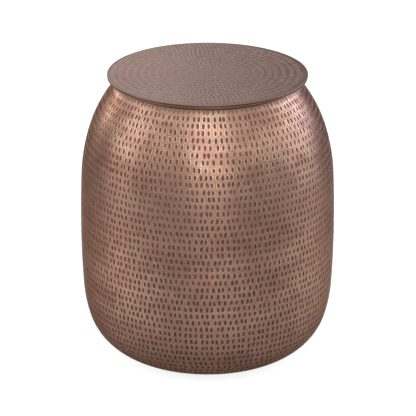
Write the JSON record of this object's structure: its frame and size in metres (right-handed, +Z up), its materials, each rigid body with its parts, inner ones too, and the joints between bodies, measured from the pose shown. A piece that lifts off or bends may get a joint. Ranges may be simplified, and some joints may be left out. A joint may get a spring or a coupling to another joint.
{
  "type": "drum side table",
  "caption": "Round barrel-shaped metal side table with a hammered wall, curled mouth and a flat lift-off lid with a rod rim over hollow storage, on rubber feet.",
  "frame": {"origin": "on the floor under the table's axis", "axes": "+Z up along the table's axis; the table is round, so +X is free"},
  "size_m": [0.3999, 0.4, 0.4622],
  "materials": {
    "copper_sheet": "satin",
    "steel_wire": "satin",
    "foot_rubber": "matte",
    "bumper_felt": "matte",
    "zinc_steel": "satin"
  },
  "bodies": {
    "drum": {"upper_shell": "copper_sheet", "lower_shell": "copper_sheet", "mouth_wire": "steel_wire", "foot_1": "foot_rubber", "foot_2": "foot_rubber", "foot_3": "foot_rubber", "foot_4": "foot_rubber", "foot_screws": "zinc_steel", "foot_washers": "zinc_steel", "foot_nuts": "zinc_steel"},
    "lid": {"lid_plate": "copper_sheet", "lid_rim_rod": "copper_sheet", "lid_collar": "copper_sheet", "lid_bumper_1": "bumper_felt", "lid_bumper_2": "bumper_felt", "lid_bumper_3": "bumper_felt", "lid_bumper_4": "bumper_felt"}
  },
  "joints": [
    {"name": "lid_lift", "type": "slide", "parent": "drum", "child": "lid", "axis": [0, 0, 1], "range_m": [0, 0.32]}
  ]
}
